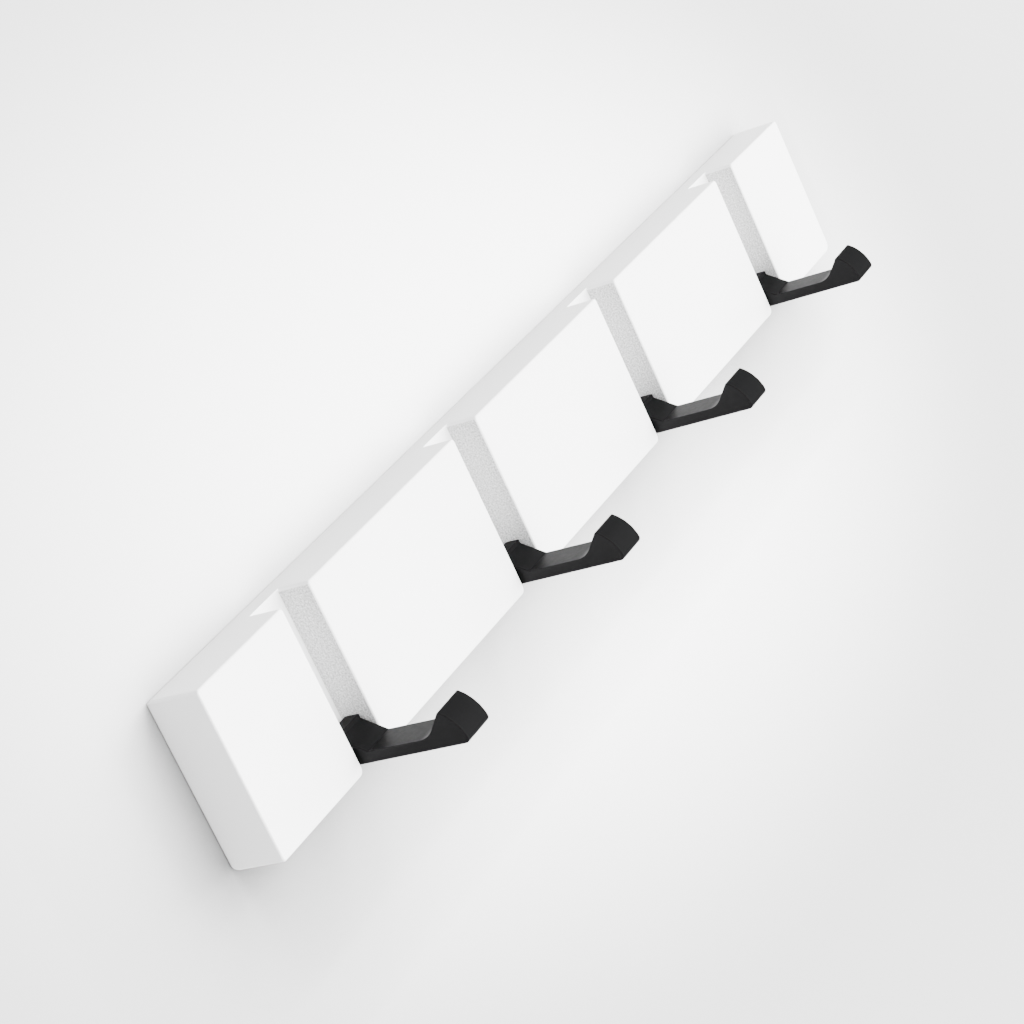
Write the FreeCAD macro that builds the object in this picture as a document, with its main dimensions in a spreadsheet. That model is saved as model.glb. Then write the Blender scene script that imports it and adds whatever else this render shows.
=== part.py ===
# A wall rail with four hooks that fold flat into open channels in its front.
# Sizes are in millimetres. X runs along the rail, +Y points into the wall and
# +Z is up. The origin is the centre of the rail's flat back face.
import FreeCAD, Part

import math
import os
import re

import Sketcher

HOOK_COUNT = 4

# Driving sizes: alias, value, what it is.
SIZES = [
    ("rail_height", 65, "height of the rail"),
    ("rail_depth", 22, "from the wall to the rail's front face"),
    ("end_block", 56, "length of rail outside the first and the last channel"),
    ("middle_block", 112, "length of rail between two channels"),
    ("channel_width", 18, "width of each open channel"),
    ("channel_depth", 13.5, "depth of each channel behind the front face"),
    ("front_edge_bevel", 0.8, "bevel along every edge of the front face"),
    ("top_corner_round", 1.4, "round at the upper corners in front view"),
    ("foot_corner_round", 2.5, "round at the lower corners beside a channel"),
    ("left_corner_round", 1.4, "round at the rail's lower left corner"),
    ("right_corner_round", 4, "round at the rail's lower right corner"),
    ("back_foot_round", 4, "round along the rail's lower back edge"),
    ("back_top_round", 1.5, "round along the rail's upper back edge"),
    ("pivot_height", 9.6, "from the rail's lower edge up to the hinge pin"),
    ("head_radius", 6.2, "from the hinge pin to the back of the hook's head"),
    ("stop_gap", 0.3, "between the open hook and the channel's back wall"),
    ("pin_diameter", 3, "hinge pin"),
    ("pin_grip", 6, "length of slot that holds each end of the pin"),
    ("pin_play", 0.05, "radial play of the pin in the hook and in its slots"),
    ("side_gap", 1.2, "between the hook's side and the channel's wall"),
    ("washer_play", 0.1, "between a friction washer and the channel's wall"),
    ("washer_diameter", 6.4, "friction washer"),
    ("fold_margin", 3.2, "from the folded hook's tip up to the rail's top"),
    ("tip_clearance", 0.4, "between the folded hook's tip and the channel's back"),
    ("arm_thickness", 4.3, "thickness of the hook's arm"),
    ("tip_lean", 7.4, "how far the corner of the tip lies behind its foot"),
    ("tip_face_radius", 15.5, "bulge of the tip's end face"),
    ("tip_foot_round", 1.6, "round at the foot of the tip"),
    ("tip_corner_round", 0.8, "round at the corner of the tip"),
    ("neck_run", 8, "length that the tip's slanting back covers"),
    ("neck_round", 8.8, "hollow round from the arm up to the tip's back"),
    ("ramp_foot", 4.3, "from the front face out to the foot of the ramp"),
    ("ramp_top", 4.6, "from the front face in to the top of the ramp"),
    ("head_top", 5.1, "from the pin up to the flat top of the hook's head"),
    ("head_step", 1.7, "step between the ramp and the flat top"),
    ("step_round", 0.6, "hollow round at the foot of the step"),
    ("heel_round", 0.5, "round at the heel and at the edge of the hook's flat top"),
    ("window_rise", 3.9, "from the pin up to the top of the window behind it"),
    ("retainer_ear", 15, "length of the retainer's plate beside the window"),
    ("retainer_plate", 2.5, "thickness of the retainer's plate"),
    ("leg_inset", 4.5, "from the plate's end to the middle of its press-in leg"),
    ("leg_width", 2.5, "width of a leg along the rail"),
    ("leg_height", 7, "height of a leg"),
    ("leg_length", 9, "from the back face to the leg's end"),
    ("seat_play", 0.1, "between a seated piece and its seat"),
    ("screw_diameter", 2.6, "shank of each countersunk screw"),
    ("screw_head", 5.2, "width of a screw's head"),
    ("screw_head_height", 1.2, "height of a screw's head"),
    ("screw_length", 11, "length of a screw with its head"),
    ("screw_point", 2.5, "length of a screw's point"),
    ("screw_play", 0.1, "radial play round a screw"),
    ("hanger_length", 40, "height of a keyhole hanger"),
    ("hanger_width", 16, "width of a keyhole hanger"),
    ("hanger_corner", 3, "cut across a hanger's corners"),
    ("hanger_plate", 1.5, "thickness of a keyhole hanger"),
    ("hanger_margin", 6.5, "from a hanger's top up to the rail's top"),
    ("hanger_screw_inset", 4.5, "from a hanger's end to its screw"),
    ("keyhole_entry", 8.5, "width of the hole that takes the wall screw's head"),
    ("keyhole_slot", 4.2, "width of the slot for the wall screw's shank"),
    ("keyhole_drop", 3.5, "entry hole's centre below the hanger's centre"),
    ("keyhole_rise", 9, "from the entry hole's centre up to the slot's end"),
    ("head_room_margin", 1.2, "room for the wall screw's head beside the entry hole"),
    ("head_room_depth", 7, "depth of the pocket for the head from the back face"),
]
ALIASES = {alias for alias, value, note in SIZES}

# Lengths and places that follow from the driving sizes, as formulas.
PITCH = "(channel_width + middle_block)"
RAIL_LENGTH = f"(2 * end_block + channel_width + {HOOK_COUNT - 1} * {PITCH})"
HALF_LENGTH = f"({RAIL_LENGTH} / 2)"
FIRST_X = f"(0 - {(HOOK_COUNT - 1) / 2} * {PITCH})"
FOOT_Z = "(0 - rail_height / 2)"
TOP_Z = "(rail_height / 2)"
PIVOT_SETBACK = "(channel_depth - stop_gap - head_radius)"
PIVOT_Y = f"({PIVOT_SETBACK} - rail_depth)"
PIVOT_Z = f"({FOOT_Z} + pivot_height)"
CHANNEL_BACK = "(rail_depth - channel_depth)"
HALF_CHANNEL = "(channel_width / 2)"
HALF_HOOK = f"({HALF_CHANNEL} - side_gap)"
HOOK_REACH = f"(rail_height - pivot_height - {PIVOT_SETBACK} - fold_margin)"
TIP_HEIGHT = "(channel_depth - tip_clearance)"
SLOT_RADIUS = "(pin_diameter / 2 + pin_play)"
SLOT_END = f"({HALF_CHANNEL} + pin_grip)"
WINDOW_TOP = f"({PIVOT_Z} + window_rise)"
PLATE_END = f"({HALF_CHANNEL} + retainer_ear)"
LEG_X = f"({PLATE_END} - leg_inset)"
SCREW_HOLE_RADIUS = "(screw_diameter / 2 + screw_play)"
SCREW_FACE = "(0 - screw_play)"
SCREW_NECK = f"({SCREW_FACE} - screw_head_height)"
RETAINER_MIDDLE_Z = f"(({FOOT_Z} + {WINDOW_TOP}) / 2)"
HANGER_X = f"({HALF_LENGTH} - end_block / 2)"
HANGER_Z = f"({TOP_Z} - hanger_margin - hanger_length / 2)"
HANGER_SCREW_Z = "(hanger_length / 2 - hanger_screw_inset)"
ENTRY_Z = "(0 - keyhole_drop)"
SLOT_END_Z = f"({ENTRY_Z} + keyhole_rise)"

doc = FreeCAD.newDocument("folding_hook_rail")
sizes = doc.addObject("Spreadsheet::Sheet", "sizes")
for row, (alias, value, note) in enumerate(SIZES, start=1):
    sizes.set(f"A{row}", note)
    sizes.set(f"B{row}", str(value))
    sizes.setAlias(f"B{row}", alias)
doc.recompute()


def bound(formula):
    """Return the formula with each alias read from the sheet."""
    def read(match):
        word = match.group()
        return f"sizes.{word}" if word in ALIASES else word
    return re.sub(r"[a-z_]+", read, formula)


def number(formula):
    """Return the formula's present value."""
    return float(sizes.evalExpression(bound(formula)))


def minus(formula):
    """Return the formula with its sign changed."""
    return f"(0 - {formula})"


def make_body(label, x="0", y="0", z="0"):
    """Add an empty body with its own placement in the rail's frame."""
    body = doc.addObject("PartDesign::Body", label)
    body.Label = label
    for axis, formula in zip("xyz", (x, y, z)):
        body.setExpression(f"Placement.Base.{axis}", bound(formula))
    return body


def origin_part(body, role):
    """Return an origin plane or axis of the body by its role."""
    return next(part for part in body.Origin.OriginFeatures if part.Role == role)


def make_sketch(body, plane, **offset):
    """Add a sketch on an origin plane, moved by formulas for x, y or z."""
    sketch = body.newObject("Sketcher::SketchObject", f"{body.Name}_sketch")
    sketch.AttachmentSupport = [(origin_part(body, plane), "")]
    sketch.MapMode = "FlatFace"
    for axis, formula in offset.items():
        sketch.setExpression(f"AttachmentOffset.Base.{axis}", bound(formula))
    return sketch


def point_at(corner):
    """Return the present place of a corner given as a pair of formulas."""
    across, up = corner
    return FreeCAD.Vector(number(across), number(up), 0)


def bind_size(sketch, kind, geometry, formula, point=None):
    """Add one driving constraint and bind it to a formula."""
    where = (geometry,) if point is None else (geometry, point)
    index = sketch.addConstraint(Sketcher.Constraint(kind, *where, number(formula)))
    sketch.setExpression(f"Constraints[{index}]", bound(formula))


def arc_between(start, end, radius):
    """Return a minor arc from start to end that bulges to the right of the way."""
    chord = end - start
    rise = radius - math.sqrt(radius * radius - (chord.Length / 2) ** 2)
    right = FreeCAD.Vector(chord.y, -chord.x, 0).normalize()
    return Part.Arc(start, (start + end) / 2 + right * rise, end)


def draw_outline(sketch, corners, bulges=None, hollows=None):
    """Draw a closed outline anticlockwise through corners, pairs of formulas.

    bulges and hollows map the number of a corner to the radius formula of the
    arc that leaves it, curved outwards or inwards. Every other run is straight.
    """
    bulges = bulges or {}
    hollows = hollows or {}
    points = [point_at(corner) for corner in corners]
    runs = []
    for index, start in enumerate(points):
        end = points[(index + 1) % len(points)]
        radius = bulges.get(index) or hollows.get(index)
        if radius is None:
            runs.append((sketch.addGeometry(Part.LineSegment(start, end)), 1, 2))
            continue
        first, last = (start, end) if index in bulges else (end, start)
        geometry = sketch.addGeometry(arc_between(first, last, number(radius)))
        bind_size(sketch, "Radius", geometry, radius)
        leaves_first = sketch.getPoint(geometry, 1).isEqual(start, 1e-6)
        runs.append((geometry, 1, 2) if leaves_first else (geometry, 2, 1))
    for index, (geometry, first, last) in enumerate(runs):
        before, before_first, before_last = runs[index - 1]
        sketch.addConstraint(Sketcher.Constraint("Coincident", before, before_last, geometry, first))
        across, up = corners[index]
        bind_size(sketch, "DistanceX", geometry, across, first)
        bind_size(sketch, "DistanceY", geometry, up, first)


def draw_rectangle(sketch, left, right, low, high):
    """Draw a rectangle between four formulas."""
    draw_outline(sketch, [(left, low), (right, low), (right, high), (left, high)])


def draw_circle(sketch, across, up, radius):
    """Draw a circle with its centre and radius bound to formulas."""
    centre = point_at((across, up))
    geometry = sketch.addGeometry(Part.Circle(centre, FreeCAD.Vector(0, 0, 1), number(radius)))
    bind_size(sketch, "Radius", geometry, radius)
    bind_size(sketch, "DistanceX", geometry, across, 3)
    bind_size(sketch, "DistanceY", geometry, up, 3)


def check_volume(body, before, adds, name):
    """Stop where a feature added or cut nothing."""
    change = body.Shape.Volume - before
    if change == 0 or (change > 0) != adds:
        raise RuntimeError(f"{name} changed the volume by {change}")


def extrude(body, kind, sketch, length, symmetric=False, backwards=False):
    """Add a Pad or a Pocket of the sketch."""
    before = body.Shape.Volume if body.Tip else 0
    feature = body.newObject(f"PartDesign::{kind}", f"{body.Name}_{kind.lower()}")
    feature.Profile = sketch
    feature.setExpression("Length", bound(length))
    feature.SideType = "Symmetric" if symmetric else "One side"
    feature.Reversed = backwards
    doc.recompute()
    check_volume(body, before, kind == "Pad", feature.Name)
    return feature


def turn(body, kind, sketch):
    """Add a Revolution or a Groove of the sketch about its own vertical axis."""
    before = body.Shape.Volume if body.Tip else 0
    feature = body.newObject(f"PartDesign::{kind}", f"{body.Name}_{kind.lower()}")
    feature.Profile = sketch
    feature.ReferenceAxis = (sketch, ["V_Axis"])
    feature.Angle = 360
    doc.recompute()
    check_volume(body, before, kind == "Revolution", feature.Name)
    return feature


def treat_edges(body, kind, size, chosen):
    """Fillet or chamfer the edges of the body for which chosen(edge) holds."""
    base = body.Tip
    edges = enumerate(base.Shape.Edges, start=1)
    names = [f"Edge{index}" for index, edge in edges if chosen(edge)]
    if not names:
        raise RuntimeError(f"no edges for a {kind} on {body.Label}")
    feature = body.newObject(f"PartDesign::{kind}", f"{body.Name}_{kind.lower()}")
    feature.Base = (base, names)
    feature.setExpression("Radius" if kind == "Fillet" else "Size", bound(size))
    doc.recompute()
    return feature


def repeat_along_rail(body, features):
    """Repeat features of the first channel at every other channel."""
    pattern = body.newObject("PartDesign::LinearPattern", f"{body.Name}_pattern")
    pattern.Originals = features
    pattern.Direction = (origin_part(body, "X_Axis"), [""])
    pattern.Mode = "Spacing"
    pattern.setExpression("Offset", bound(PITCH))
    pattern.Occurrences = HOOK_COUNT
    body.Tip = pattern
    doc.recompute()


def mirror(body, features, plane):
    """Mirror features of the body in one of its origin planes."""
    mirrored = body.newObject("PartDesign::Mirrored", f"{body.Name}_mirrored")
    mirrored.Originals = features
    mirrored.MirrorPlane = (origin_part(body, plane), [""])
    body.Tip = mirrored
    doc.recompute()


def near(first, second):
    """Tell whether two lengths are the same."""
    return abs(first - second) < 1e-4


def lies_at(edge, **places):
    """Tell whether every end of the edge has the given x, y or z."""
    return all(near(getattr(vertex.Point, axis), place)
               for vertex in edge.Vertexes for axis, place in places.items())


def runs_along(edge, axis):
    """Tell whether the edge is straight and runs along the axis."""
    if edge.Curve.TypeId != "Part::GeomLine":
        return False
    direction = edge.Vertexes[-1].Point - edge.Vertexes[0].Point
    return near(abs(getattr(direction, axis)), direction.Length)


def draw_waste_at_foot(sketch, foot):
    """Draw what a round takes off the lower back edge, at height foot."""
    corners = [("0", foot), ("0", f"({foot} + back_foot_round)"), ("(0 - back_foot_round)", foot)]
    draw_outline(sketch, corners, hollows={1: "back_foot_round"})


def draw_legs(sketch, x, play):
    """Draw both press-in legs of the retainer at x, wider by the play all round."""
    half_width, half_height = f"(leg_width / 2 + {play})", f"(leg_height / 2 + {play})"
    for side in ("-", "+"):
        middle = f"({x} {side} {LEG_X})"
        left, right = f"({middle} - {half_width})", f"({middle} + {half_width})"
        low, high = f"({RETAINER_MIDDLE_Z} - {half_height})", f"({RETAINER_MIDDLE_Z} + {half_height})"
        draw_rectangle(sketch, left, right, low, high)


def shape_blank(rail):
    """Pad the rail's front view and round its two long back edges."""
    front_view = make_sketch(rail, "XZ_Plane")
    corners = [
        (f"(left_corner_round - {HALF_LENGTH})", FOOT_Z),
        (f"({HALF_LENGTH} - right_corner_round)", FOOT_Z),
        (HALF_LENGTH, f"({FOOT_Z} + right_corner_round)"),
        (HALF_LENGTH, f"({TOP_Z} - top_corner_round)"),
        (f"({HALF_LENGTH} - top_corner_round)", TOP_Z),
        (f"(top_corner_round - {HALF_LENGTH})", TOP_Z),
        (minus(HALF_LENGTH), f"({TOP_Z} - top_corner_round)"),
        (minus(HALF_LENGTH), f"({FOOT_Z} + left_corner_round)"),
    ]
    rounds = {1: "right_corner_round", 3: "top_corner_round", 5: "top_corner_round", 7: "left_corner_round"}
    draw_outline(front_view, corners, bulges=rounds)
    extrude(rail, "Pad", front_view, "rail_depth")

    end_view = make_sketch(rail, "YZ_Plane")
    draw_waste_at_foot(end_view, FOOT_Z)
    top_waste = [("0", TOP_Z), ("(0 - back_top_round)", TOP_Z), ("0", f"({TOP_Z} - back_top_round)")]
    draw_outline(end_view, top_waste, hollows={1: "back_top_round"})
    extrude(rail, "Pocket", end_view, f"({RAIL_LENGTH} + rail_depth)", symmetric=True)


def cut_channels(rail):
    """Cut the open channels and round the edges that the front view shows."""
    plan = make_sketch(rail, "XY_Plane")
    left, right = f"({FIRST_X} - {HALF_CHANNEL})", f"({FIRST_X} + {HALF_CHANNEL})"
    front, back = "(0 - rail_depth)", minus(CHANNEL_BACK)
    draw_rectangle(plan, left, right, front, back)
    channel = extrude(rail, "Pocket", plan, "(rail_height + rail_depth)", symmetric=True)
    repeat_along_rail(rail, [channel])

    half_length, foot, top = number(HALF_LENGTH), number(FOOT_Z), number(TOP_Z)
    inside = half_length - number("end_block") / 2

    def beside_channel(edge, height):
        return runs_along(edge, "y") and lies_at(edge, z=height) and abs(edge.Vertexes[0].X) < inside

    treat_edges(rail, "Fillet", "foot_corner_round", lambda edge: beside_channel(edge, foot))
    treat_edges(rail, "Fillet", "top_corner_round", lambda edge: beside_channel(edge, top))
    treat_edges(rail, "Chamfer", "front_edge_bevel", lambda edge: lies_at(edge, y=number(front)))


def cut_hinge_seats(rail):
    """Cut what holds each hinge from behind: window, plate recess, pin slots, mortises."""
    window = make_sketch(rail, "XZ_Plane")
    left, right = f"({FIRST_X} - {HALF_CHANNEL})", f"({FIRST_X} + {HALF_CHANNEL})"
    draw_rectangle(window, left, right, FOOT_Z, WINDOW_TOP)
    cuts = [extrude(rail, "Pocket", window, CHANNEL_BACK, backwards=True)]

    recess = make_sketch(rail, "XZ_Plane")
    plate_end = f"({PLATE_END} + seat_play)"
    draw_rectangle(recess, f"({FIRST_X} - {plate_end})", f"({FIRST_X} + {plate_end})", FOOT_Z, WINDOW_TOP)
    cuts.append(extrude(rail, "Pocket", recess, "(retainer_plate + seat_play)", backwards=True))

    slot = make_sketch(rail, "YZ_Plane", z=FIRST_X)
    low, high = f"({PIVOT_Z} - {SLOT_RADIUS})", f"({PIVOT_Z} + {SLOT_RADIUS})"
    corners = [(PIVOT_Y, low), ("0", low), ("0", high), (PIVOT_Y, high), (f"({PIVOT_Y} - {SLOT_RADIUS})", PIVOT_Z)]
    draw_outline(slot, corners, bulges={3: SLOT_RADIUS, 4: SLOT_RADIUS})
    cuts.append(extrude(rail, "Pocket", slot, f"(2 * ({SLOT_END} + seat_play))", symmetric=True))

    mortises = make_sketch(rail, "XZ_Plane")
    draw_legs(mortises, FIRST_X, "seat_play")
    cuts.append(extrude(rail, "Pocket", mortises, "(leg_length + seat_play)", backwards=True))
    repeat_along_rail(rail, cuts)


def draw_hanger_outline(sketch, x, z, play):
    """Draw a keyhole hanger's outline with its corners cut off, wider by the play."""
    half_width, half_height = f"(hanger_width / 2 + {play})", f"(hanger_length / 2 + {play})"
    corner = "hanger_corner"
    left, right = f"({x} - {half_width})", f"({x} + {half_width})"
    low, high = f"({z} - {half_height})", f"({z} + {half_height})"
    corners = [
        (f"({left} + {corner})", low), (f"({right} - {corner})", low),
        (right, f"({low} + {corner})"), (right, f"({high} - {corner})"),
        (f"({right} - {corner})", high), (f"({left} + {corner})", high),
        (left, f"({high} - {corner})"), (left, f"({low} + {corner})"),
    ]
    draw_outline(sketch, corners)


def cut_hanger_seats(rail):
    """Cut a recess, a pocket for the wall screw's head and pilot holes for each hanger."""
    recess = make_sketch(rail, "XZ_Plane")
    draw_hanger_outline(recess, HANGER_X, HANGER_Z, "seat_play")
    cuts = [extrude(rail, "Pocket", recess, "(hanger_plate + seat_play)", backwards=True)]

    room = make_sketch(rail, "XZ_Plane")
    half_room = "(keyhole_entry / 2 + head_room_margin)"
    left, right = f"({HANGER_X} - {half_room})", f"({HANGER_X} + {half_room})"
    low, high = f"({HANGER_Z} + {ENTRY_Z} - {half_room})", f"({HANGER_Z} + {SLOT_END_Z} + {half_room})"
    draw_rectangle(room, left, right, low, high)
    cuts.append(extrude(rail, "Pocket", room, "head_room_depth", backwards=True))

    pilots = make_sketch(rail, "XZ_Plane")
    for side in ("-", "+"):
        draw_circle(pilots, HANGER_X, f"({HANGER_Z} {side} {HANGER_SCREW_Z})", SCREW_HOLE_RADIUS)
    cuts.append(extrude(rail, "Pocket", pilots, "(screw_length + seat_play)", backwards=True))
    mirror(rail, cuts, "YZ_Plane")


def build_rail():
    """Build the one-piece rail: blank, channels, hinge seats, hanger seats."""
    rail = make_body("rail_body")
    shape_blank(rail)
    cut_channels(rail)
    cut_hinge_seats(rail)
    cut_hanger_seats(rail)
    return rail


def hook_corners():
    """Return the named corners of the hook's side view, about the hinge pin."""
    underside = minus(PIVOT_SETBACK)
    arm_top = f"({underside} + arm_thickness)"
    end = minus(f"({HOOK_REACH} + {PIVOT_SETBACK})")
    tip = f"({end} + tip_lean)"
    ramp_top = f"(ramp_top - {PIVOT_SETBACK})"
    back_top = "(sqrt(head_radius * head_radius - head_top * head_top))"
    return {
        "heel": ("head_radius", underside),
        "back": ("head_radius", "0"),
        "back_top": (back_top, "head_top"),
        "step_top": (ramp_top, "head_top"),
        "step_foot": (ramp_top, "(head_top - head_step)"),
        "ramp_foot": (minus(f"(ramp_foot + {PIVOT_SETBACK})"), arm_top),
        "neck_foot": (f"({tip} + neck_run)", arm_top),
        "tip": (tip, f"({underside} + {TIP_HEIGHT})"),
        "toe": (end, underside),
    }


def build_hook(index, x):
    """Build one die-cast hook, folded out, with its bore at the hinge pin."""
    hook = make_body(f"hook_{index}", x, PIVOT_Y, PIVOT_Z)
    side_view = make_sketch(hook, "YZ_Plane")
    corners = hook_corners()
    names = list(corners)
    arcs = {names.index("back"): "head_radius", names.index("tip"): "tip_face_radius"}
    draw_outline(side_view, list(corners.values()), bulges=arcs)
    draw_circle(side_view, "0", "0", SLOT_RADIUS)
    extrude(hook, "Pad", side_view, f"(2 * {HALF_HOOK})", symmetric=True)

    rounds = {
        "neck_foot": "neck_round",
        "toe": "tip_foot_round",
        "tip": "tip_corner_round",
        "step_foot": "step_round",
        "step_top": "heel_round",
        "heel": "heel_round",
    }
    for name, radius in rounds.items():
        place = point_at(corners[name])
        treat_edges(hook, "Fillet", radius, lambda edge: lies_at(edge, y=place.x, z=place.y))
    return hook


def build_pin(index, x):
    """Build one hinge pin."""
    pin = make_body(f"hinge_pin_{index}", x, PIVOT_Y, PIVOT_Z)
    section = make_sketch(pin, "YZ_Plane")
    draw_circle(section, "0", "0", "(pin_diameter / 2)")
    extrude(pin, "Pad", section, f"(2 * {SLOT_END})", symmetric=True)
    return pin


def build_washers(index, x):
    """Build the pair of friction washers that fill the gaps beside one hook."""
    washers = make_body(f"friction_washers_{index}", x, PIVOT_Y, PIVOT_Z)
    ring = make_sketch(washers, "YZ_Plane", z=HALF_HOOK)
    draw_circle(ring, "0", "0", "(washer_diameter / 2)")
    draw_circle(ring, "0", "0", SLOT_RADIUS)
    washer = extrude(washers, "Pad", ring, "(side_gap - washer_play)")
    mirror(washers, [washer], "YZ_Plane")
    return washers


def build_retainer(index, x):
    """Build the plate that closes the window and holds the pin in its slots."""
    retainer = make_body(f"hinge_retainer_{index}", x)
    top = f"({WINDOW_TOP} - seat_play)"
    half_block = f"({HALF_CHANNEL} - seat_play)"
    finger_in, finger_out = f"({HALF_CHANNEL} + seat_play)", SLOT_END
    finger_low = f"({PIVOT_Z} - pin_diameter / 2)"
    finger_high = f"({PIVOT_Z} + pin_diameter / 2)"

    plate = make_sketch(retainer, "XZ_Plane")
    draw_rectangle(plate, minus(PLATE_END), PLATE_END, FOOT_Z, top)
    extrude(retainer, "Pad", plate, "retainer_plate")

    block = make_sketch(retainer, "XZ_Plane")
    draw_rectangle(block, minus(half_block), half_block, FOOT_Z, top)
    extrude(retainer, "Pad", block, CHANNEL_BACK)

    bridge = make_sketch(retainer, "XZ_Plane")
    draw_rectangle(bridge, minus(finger_out), finger_out, finger_low, finger_high)
    extrude(retainer, "Pad", bridge, CHANNEL_BACK)

    fingers = make_sketch(retainer, "XZ_Plane")
    draw_rectangle(fingers, finger_in, finger_out, finger_low, finger_high)
    draw_rectangle(fingers, minus(finger_out), minus(finger_in), finger_low, finger_high)
    reach = f"(rail_depth - {PIVOT_SETBACK} - pin_diameter / 2 - seat_play)"
    extrude(retainer, "Pad", fingers, reach)

    legs = make_sketch(retainer, "XZ_Plane")
    draw_legs(legs, "0", "0")
    extrude(retainer, "Pad", legs, "leg_length")

    end_view = make_sketch(retainer, "YZ_Plane")
    draw_waste_at_foot(end_view, FOOT_Z)
    extrude(retainer, "Pocket", end_view, f"(3 * {PLATE_END})", symmetric=True)
    return retainer


def build_screws(label, places):
    """Build one group of countersunk screws, one at each pair of x and z."""
    screws = make_body(label)
    end = f"({SCREW_FACE} - screw_length)"
    corners = [
        ("0", SCREW_FACE), ("0", end), ("(screw_diameter / 2)", f"({end} + screw_point)"),
        ("(screw_diameter / 2)", SCREW_NECK), ("(screw_head / 2)", SCREW_FACE),
    ]
    for x, z in places:
        profile = make_sketch(screws, "XY_Plane", x=x, z=z)
        draw_outline(profile, corners)
        turn(screws, "Revolution", profile)
    return screws


def build_hanger(label, x):
    """Build one steel plate with a keyhole for a screw in the wall."""
    hanger = make_body(label, x, "0", HANGER_Z)
    outline = make_sketch(hanger, "XZ_Plane")
    draw_hanger_outline(outline, "0", "0", "0")
    extrude(hanger, "Pad", outline, "hanger_plate")

    entry = make_sketch(hanger, "XZ_Plane")
    draw_circle(entry, "0", ENTRY_Z, "(keyhole_entry / 2)")
    extrude(hanger, "Pocket", entry, "hanger_plate", backwards=True)

    slot = make_sketch(hanger, "XZ_Plane")
    half = "(keyhole_slot / 2)"
    corners = [
        (minus(half), ENTRY_Z), (half, ENTRY_Z), (half, SLOT_END_Z),
        ("0", f"({SLOT_END_Z} + {half})"), (minus(half), SLOT_END_Z),
    ]
    draw_outline(slot, corners, bulges={2: half, 3: half})
    extrude(hanger, "Pocket", slot, "hanger_plate", backwards=True)

    wide, narrow = "(screw_head / 2 + 2 * screw_play)", SCREW_HOLE_RADIUS
    end = "(0 - hanger_plate - screw_play)"
    for side in ("-", "+"):
        profile = make_sketch(hanger, "XY_Plane", z=f"(0 {side} {HANGER_SCREW_Z})")
        draw_outline(profile, [("0", "0"), ("0", end), (narrow, end), (narrow, SCREW_NECK), (wide, "0")])
        turn(hanger, "Groove", profile)
    return hanger


def build_all():
    """Build every piece and return the bodies to write."""
    pieces = [build_rail()]
    for index in range(1, HOOK_COUNT + 1):
        x = f"({FIRST_X} + {index - 1} * {PITCH})"
        pieces += [build_hook(index, x), build_pin(index, x), build_washers(index, x), build_retainer(index, x)]
    screw_places = []
    for side, x in (("left", minus(HANGER_X)), ("right", HANGER_X)):
        pieces.append(build_hanger(f"keyhole_hanger_{side}", x))
        screw_places += [(x, f"({HANGER_Z} {sign} {HANGER_SCREW_Z})") for sign in "-+"]
    pieces.append(build_screws("hanger_screws", screw_places))
    return pieces


def write_pieces(pieces):
    """Check every object of the document and write each piece to its own file."""
    for thing in doc.Objects:
        if "Invalid" in thing.State or "Error" in thing.State:
            raise RuntimeError(f"{thing.Label} failed: {thing.State}")
    for piece in pieces:
        if piece.Shape.isNull() or not piece.Shape.isValid() or not piece.Shape.Solids:
            raise RuntimeError(f"{piece.Label} has no valid solid")
    os.makedirs("parts", exist_ok=True)
    for piece in pieces:
        piece.Shape.exportStep(f"parts/{piece.Label}.step")


pieces = build_all()
doc.recompute()
write_pieces(pieces)
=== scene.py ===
"""Looks of a white wall rail with four black hooks that fold into open channels.

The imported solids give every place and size. This script puts a finished piece
in the place of each of them: the lacquered rail, the coated hooks, the moulded
hinge retainers and washers, the plated pins, hangers and screws. Lengths are in
millimetres until a mesh is made, and the scene is in metres. X runs along the
rail, +Y points into the wall and +Z is up.
"""

import logging
import math
from dataclasses import dataclass
from enum import Enum

import bmesh
import bpy
from mathutils import Matrix, Vector

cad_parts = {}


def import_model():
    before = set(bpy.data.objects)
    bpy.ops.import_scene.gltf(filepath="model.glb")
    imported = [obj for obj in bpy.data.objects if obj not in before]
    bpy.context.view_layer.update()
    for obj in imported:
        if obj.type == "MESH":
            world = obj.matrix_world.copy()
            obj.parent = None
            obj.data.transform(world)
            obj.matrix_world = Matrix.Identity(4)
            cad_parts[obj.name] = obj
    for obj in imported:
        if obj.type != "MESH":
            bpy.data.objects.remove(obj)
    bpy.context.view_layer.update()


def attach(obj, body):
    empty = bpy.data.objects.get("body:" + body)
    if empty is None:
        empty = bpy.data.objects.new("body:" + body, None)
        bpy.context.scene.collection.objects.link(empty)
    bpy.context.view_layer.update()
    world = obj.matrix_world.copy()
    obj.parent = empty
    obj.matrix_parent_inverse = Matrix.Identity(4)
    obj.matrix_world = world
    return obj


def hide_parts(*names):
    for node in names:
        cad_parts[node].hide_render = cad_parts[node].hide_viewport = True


log = logging.getLogger("wall_rail")

Point = tuple[float, float]
Corner = tuple[float, float, float]
Place = tuple[float, float, float]
Span = tuple[float, float]
MILLIMETRE = 0.001
HOOK_PLACES = (-195.0, -65.0, 65.0, 195.0)
HANGER_PLACES = {"left": -232.0, "right": 232.0}
HANGER_MIDDLE = 6.0
HANGER_SCREW_HEIGHTS = (-9.5, 21.5)
PIVOT = (-15.0, -22.9)
BORE = 1.55
FOOT = -32.5
TOP = 32.5
BACK_FOOT_ROUND = 4.0
CHANNEL_BACK = -8.5
HALF_CHANNEL = 9.0
RAIL_BODY = "rail"
SEAT_PLAY = 0.1
SPARE = 5.0
WHOLE_TURN = 360.0
HALF_TURN = 180.0


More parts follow.
